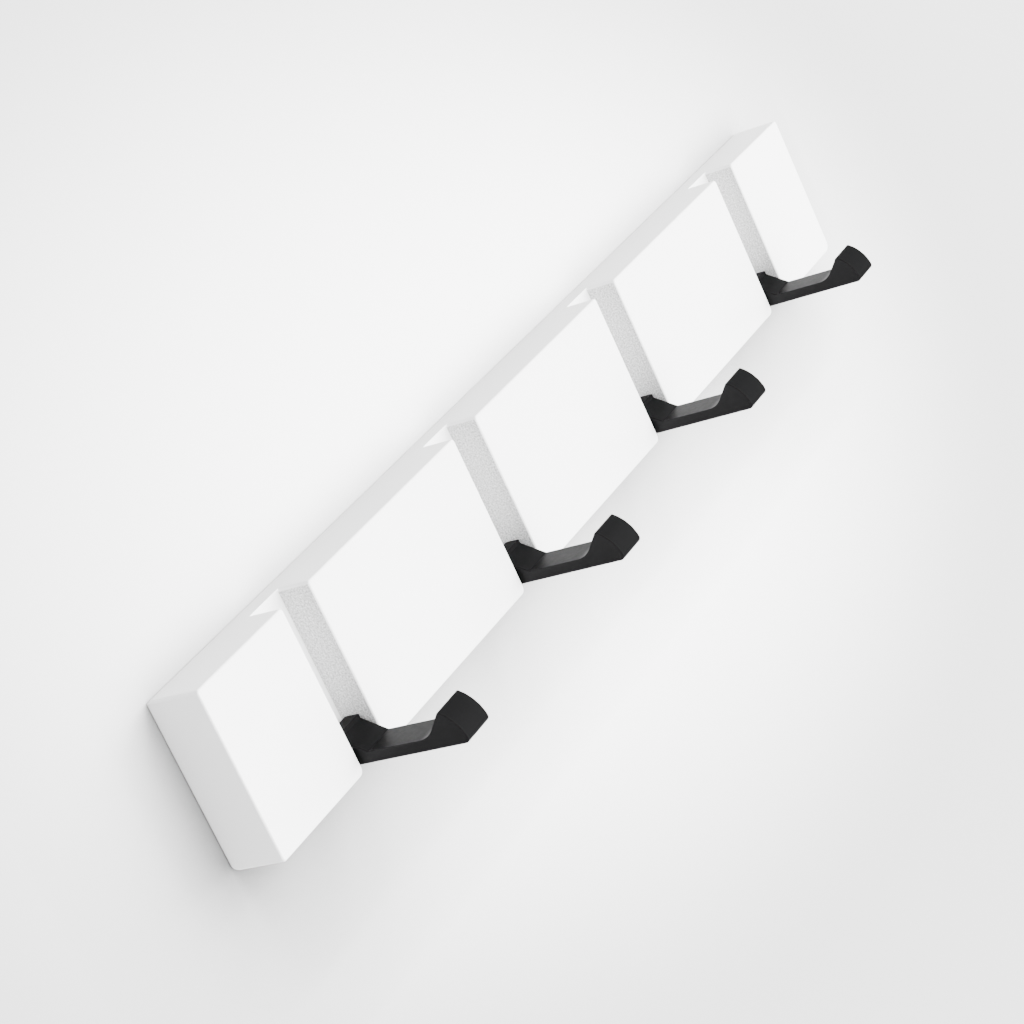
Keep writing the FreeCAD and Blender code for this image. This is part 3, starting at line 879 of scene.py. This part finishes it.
@dataclass
class Hanger(Piece):
    """One plated keyhole hanger with countersunk holes."""

    x: float = 0.0
    half_width: float = 8.0
    half_height: float = 20.0
    corner: float = 3.6
    thickness: float = 1.5
    rim: float = 0.2
    entry_drop: float = 3.5
    entry_radius: float = 4.25
    slot_half: float = 2.1
    slot_rise: float = 5.5
    hole_radius: float = 1.4
    hole_neck: float = -1.3
    sink_radius: float = 2.8
    entry_steps: int = 40
    slot_steps: int = 16

    def mesh(self) -> bpy.types.Object:
        """Draw out the plate and cut keyhole and screw holes."""
        left, right = self.x - self.half_width, self.x + self.half_width
        low, high = HANGER_MIDDLE - self.half_height, HANGER_MIDDLE + self.half_height
        outline = rectangle(left, right, low, high, self.corner)
        plate = prism(self.name, outline, Along.Y, -self.thickness, 0, self.rim, self.rim)
        entry_z, slot_z = HANGER_MIDDLE - self.entry_drop, HANGER_MIDDLE + self.slot_rise
        entry = circle((self.x, entry_z), self.entry_radius, self.entry_steps)
        slot = [(self.x - self.slot_half, entry_z), (self.x + self.slot_half, entry_z)]
        slot += arc((self.x, slot_z), self.slot_half, 0, HALF_TURN, self.slot_steps)
        cuts = [prism("entry", entry, Along.Y, -SPARE, SPARE), prism("slot", slot, Along.Y, -SPARE, SPARE)]
        bore, sink = self.hole_radius, self.sink_radius
        for z in HANGER_SCREW_HEIGHTS:
            hole = lathe("hole", [(bore, -SPARE), (bore, self.hole_neck), (sink, 0), (sink, SPARE)])
            shift(hole, x=self.x, z=z)
            cuts.append(hole)
        carve(plate, cuts, Carve.CUT)
        return plate


@dataclass
class HangerScrews(Piece):
    """The four countersunk screws with cross recesses that hold the hangers."""

    node: str = "hanger_screws"
    name: str = "plated_screws"
    slot: Slot = Slot.STEEL
    face: float = -0.1
    neck: float = -1.3
    end: float = -11.1
    head_radius: float = 2.6
    radius: float = 1.3
    core: float = 1.05
    point: float = 0.08
    head_ease: Point = (0.15, 0.12)
    thread_pitch: float = 1.0
    thread_end: float = -8.6
    flank: float = 0.2
    recess_half_length: float = 1.4
    recess_half_width: float = 0.32
    recess_depth: float = 1.0
    steps: int = 24

    def screw(self) -> bpy.types.Object:
        """Make one screw on the Y axis."""
        ease, drop = self.head_ease
        profile = [(self.head_radius - ease, self.face), (self.head_radius, self.face - drop)]
        profile.append((self.radius, self.neck))
        crest = self.neck - self.thread_pitch
        while crest > self.thread_end:
            profile.append((self.core, crest + self.thread_pitch / 3))
            profile += [(self.radius, crest), (self.core, crest - self.flank)]
            crest -= self.thread_pitch
        profile.append((self.point, self.end))
        screw = lathe("screw", profile, self.steps)
        long, wide = self.recess_half_length, self.recess_half_width
        bars = [rectangle(-long, long, -wide, wide), rectangle(-wide, wide, -long, long)]
        carve(screw, [prism("recess", bar, Along.Y, -self.recess_depth, SPARE) for bar in bars], Carve.CUT)
        return screw

    def mesh(self) -> bpy.types.Object:
        """Set one screw in each hole of both hangers."""
        screws = []
        for x in HANGER_PLACES.values():
            for z in HANGER_SCREW_HEIGHTS:
                screw = self.screw()
                shift(screw, x=x, z=z)
                screws.append(screw)
        return merge(self.name, screws)


@dataclass(frozen=True)
class PaintedShade:
    """A soft shadow painted on the wall, darkest where ambient occlusion finds something in the way that
    its light would come from.
    """

    towards: Place
    reach: float
    depth: float


@dataclass(frozen=True)
class Lamp:
    """A soft square light that faces the rail, with its side in metres and its power in watts."""

    name: str
    place: Place
    size: float
    power: float
    glossy: bool = False

    def hang(self) -> None:
        """Add the light, out of the camera's sight."""
        light = bpy.data.lights.new(self.name, "AREA")
        light.size = self.size
        light.energy = self.power
        holder = bpy.data.objects.new(self.name, light)
        holder.location = self.place
        holder.rotation_euler = (-Vector(self.place)).to_track_quat("-Z", "Y").to_euler()
        holder.visible_glossy = self.glossy
        holder.visible_camera = False
        bpy.context.scene.collection.objects.link(holder)


@dataclass
class Studio:
    """Wall, floor, lights, pale surroundings and camera."""

    wall_gap: float = 0.0004
    clear_within: float = 0.002
    floor_height: float = -1.6
    spread: float = 6.0
    bounce_tone: float = 0.36
    # A painted pool of light on the wall: its tone in the middle and at the rim, its two axes, and where
    # its fading starts and ends.
    painted_pool_centre: float = 0.83
    painted_pool_edge: float = 0.36
    painted_pool_across: Place = (2.0, 0.0, -2.07)
    painted_pool_up: Place = (-2.17, 0.0, -4.31)
    painted_pool_start: float = 0.25
    painted_pool_end: float = 1.25
    # Painted shadows on the wall: the way each looks for what is in the way, its reach in metres and how
    # deep it darkens.
    painted_end_shade: PaintedShade = PaintedShade((0.4, -0.45, 0.8), 0.08, 2.7)
    painted_foot_shade: PaintedShade = PaintedShade((-0.45, -0.6, 0.65), 0.055, 2.4)
    # Samples of the painted shadows, and the lowest share of light they leave.
    painted_shade_samples: int = 2
    painted_shade_floor: float = 0.22
    lamps: tuple[Lamp, ...] = (
        Lamp("key", (0.4, -2.2, -0.15), 3.4, 580),
        Lamp("side", (2.4, -1.5, 0.3), 1.8, 340),
        Lamp("fill", (-1.5, -1.7, 0.95), 0.3, 30, glossy=True),
        Lamp("rear", (1.3, 2.1, 1.5), 0.7, 330),
    )
    world_strength: float = 0.5
    camera_place: Place = (-0.93838, -0.63658, 0.30396)
    camera_right: Place = (0.421448, -0.808787, -0.410178)
    camera_down: Place = (-0.450479, 0.205841, -0.868734)
    camera_forward: Place = (0.787052, 0.550902, -0.27759)
    lens: float = 105.32
    sensor: float = 36.0
    nearest: float = 0.01

    def bare_material(self, name: str) -> bpy.types.Material:
        """Make a material with no nodes."""
        material = bpy.data.materials.new(name)
        material.use_nodes = True
        material.node_tree.nodes.clear()
        return material

    def plain_paint(self, material: bpy.types.Material) -> bpy.types.Node:
        """Add the matt pale paint that the floor has, and the wall where it only bounces light."""
        paint = material.node_tree.nodes.new("ShaderNodeBsdfDiffuse")
        paint.inputs["Color"].default_value = (*(self.bounce_tone,) * 3, 1)
        return paint

    def floor_material(self) -> bpy.types.Material:
        """Make the floor's plain pale finish."""
        material = self.bare_material("pale floor")
        output = material.node_tree.nodes.new("ShaderNodeOutputMaterial")
        material.node_tree.links.new(self.plain_paint(material).outputs["BSDF"], output.inputs["Surface"])
        return material

    def painted_light_pool(self, material: bpy.types.Material) -> bpy.types.NodeSocket:
        """Add a painted pool of light on the wall, palest behind the rail and fading evenly outwards."""
        nodes, links = material.node_tree.nodes, material.node_tree.links
        place, reach = nodes.new("ShaderNodeTexCoord"), nodes.new("ShaderNodeCombineXYZ")
        for axis, direction in (("X", self.painted_pool_across), ("Y", self.painted_pool_up)):
            part = nodes.new("ShaderNodeVectorMath")
            part.operation = "DOT_PRODUCT"
            part.inputs[1].default_value = direction
            links.new(place.outputs["Object"], part.inputs[0])
            links.new(part.outputs["Value"], reach.inputs[axis])
        distance = nodes.new("ShaderNodeVectorMath")
        distance.operation = "LENGTH"
        links.new(reach.outputs["Vector"], distance.inputs[0])
        span, tones = (self.painted_pool_start, self.painted_pool_end), (self.painted_pool_centre, self.painted_pool_edge)
        return remap(material, distance.outputs["Value"], span, tones, eased=True)

    def shadow(self, material: bpy.types.Material, shade: PaintedShade) -> bpy.types.NodeSocket:
        """Add one soft painted shadow, made from ambient occlusion.

        Args:
            material: The wall's material.
            shade: The painted shadow to add.

        Returns:
            How much light the painted shadow leaves, from 0 to 1.
        """
        nodes, links = material.node_tree.nodes, material.node_tree.links
        hidden, towards = nodes.new("ShaderNodeAmbientOcclusion"), nodes.new("ShaderNodeCombineXYZ")
        hidden.samples = self.painted_shade_samples
        hidden.inputs["Distance"].default_value = shade.reach
        for axis, part in zip("XYZ", shade.towards):
            towards.inputs[axis].default_value = part
        links.new(towards.outputs["Vector"], hidden.inputs["Normal"])
        return reckon(material, "POWER", hidden.outputs["AO"], shade.depth)

    def wall_material(self) -> bpy.types.Material:
        """Make the wall's finish, with a painted pool of light behind the rail and painted shadows, which
        only camera rays see.

        Returns:
            A material that is clear from behind and to whatever touches it,
            so that the rail's back can be seen and lit.
        """
        material = self.bare_material("pale wall")
        nodes, links = material.node_tree.nodes, material.node_tree.links
        # The painted shadows darken the wall's colour, never below the lowest share.
        shades = (self.shadow(material, shade) for shade in (self.painted_end_shade, self.painted_foot_shade))
        lit = remap(material, reckon(material, "MULTIPLY", *shades), becomes=(self.painted_shade_floor, 1.0))
        seen, pale = nodes.new("ShaderNodeBsdfDiffuse"), nodes.new("ShaderNodeMixShader")
        links.new(reckon(material, "MULTIPLY", lit, self.painted_light_pool(material)), seen.inputs["Color"])
        # Camera rays see the wall with its painted light and painted shadows; light bouncing off it sees
        # only the plain paint.
        path = nodes.new("ShaderNodeLightPath")
        links.new(path.outputs["Is Camera Ray"], pale.inputs["Fac"])
        links.new(self.plain_paint(material).outputs["BSDF"], pale.inputs[1])
        links.new(seen.outputs["BSDF"], pale.inputs[2])

        behind = nodes.new("ShaderNodeNewGeometry").outputs["Backfacing"]
        touching = reckon(material, "LESS_THAN", path.outputs["Ray Length"], self.clear_within)
        clear, mix = nodes.new("ShaderNodeBsdfTransparent"), nodes.new("ShaderNodeMixShader")
        output = nodes.new("ShaderNodeOutputMaterial")
        links.new(reckon(material, "MAXIMUM", behind, touching), mix.inputs["Fac"])
        links.new(pale.outputs["Shader"], mix.inputs[1])
        links.new(clear.outputs["BSDF"], mix.inputs[2])
        links.new(mix.outputs["Shader"], output.inputs["Surface"])
        return material

    def sheet(self, name: str, corners: list[Place], material: bpy.types.Material) -> None:
        """Add one flat sheet of the backdrop."""
        mesh = bpy.data.meshes.new(name)
        mesh.from_pydata(corners, [], [(0, 1, 2, 3)])
        mesh.materials.append(material)
        make_object(name, mesh)

    def backdrop(self) -> None:
        """Add the wall behind the rail and the floor far below it."""
        reach, gap, low = self.spread / 2, self.wall_gap, self.floor_height
        wall = [(-reach, gap, low), (reach, gap, low), (reach, gap, reach), (-reach, gap, reach)]
        floor = [(-reach, -reach, low), (reach, -reach, low), (reach, reach, low), (-reach, reach, low)]
        self.sheet("wall", wall, self.wall_material())
        self.sheet("floor", floor, self.floor_material())

    def lights(self) -> None:
        """Add the soft lights and the pale surroundings."""
        for lamp in self.lamps:
            lamp.hang()
        world = bpy.data.worlds.new("pale room")
        world.use_nodes = True
        sky = next(node for node in world.node_tree.nodes if node.type == "BACKGROUND")
        sky.inputs["Color"].default_value = (1, 1, 1, 1)
        sky.inputs["Strength"].default_value = self.world_strength
        bpy.context.scene.world = world

    def camera(self) -> None:
        """Place the camera at the photograph's viewing angle."""
        data = bpy.data.cameras.new("camera")
        data.lens = self.lens
        data.sensor_width = self.sensor
        data.clip_start = self.nearest
        holder = bpy.data.objects.new("camera", data)
        columns = Matrix((
            self.camera_right,
            tuple(-part for part in self.camera_down),
            tuple(-part for part in self.camera_forward),
        )).transposed()
        holder.matrix_world = Matrix.Translation(self.camera_place) @ columns.to_4x4()
        bpy.context.scene.collection.objects.link(holder)
        bpy.context.scene.camera = holder

    def make(self) -> None:
        """Set up the whole studio."""
        self.backdrop()
        self.lights()
        self.camera()


def all_pieces() -> list[Piece]:
    """Return every piece of the rail, in the order of the frame's nodes."""
    pieces: list[Piece] = [Rail()]
    for number, x in enumerate(HOOK_PLACES, start=1):
        hook = f"hook_{number}"
        pieces += [
            Hook(hook, f"coated_hook_{number}", Slot.COAT, hook, x),
            Pin(f"hinge_pin_{number}", f"plated_pin_{number}", Slot.STEEL, RAIL_BODY, x),
            Washers(f"friction_washers_{number}", f"moulded_washers_{number}", Slot.WASHER, hook, x),
            Retainer(f"hinge_retainer_{number}", f"moulded_retainer_{number}", Slot.MOULDED, RAIL_BODY, x),
        ]
    for side, x in HANGER_PLACES.items():
        pieces.append(Hanger(f"keyhole_hanger_{side}", f"plated_hanger_{side}", Slot.STEEL, RAIL_BODY, x))
    pieces.append(HangerScrews())
    return pieces


def main() -> None:
    """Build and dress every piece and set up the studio."""
    logging.basicConfig(level=logging.INFO, format="%(name)s: %(message)s")
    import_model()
    materials = {slot: finish.build() for slot, finish in FINISHES.items()}
    for piece in all_pieces():
        piece.dress(materials)
    Studio().make()


if __name__ == "__main__":
    main()
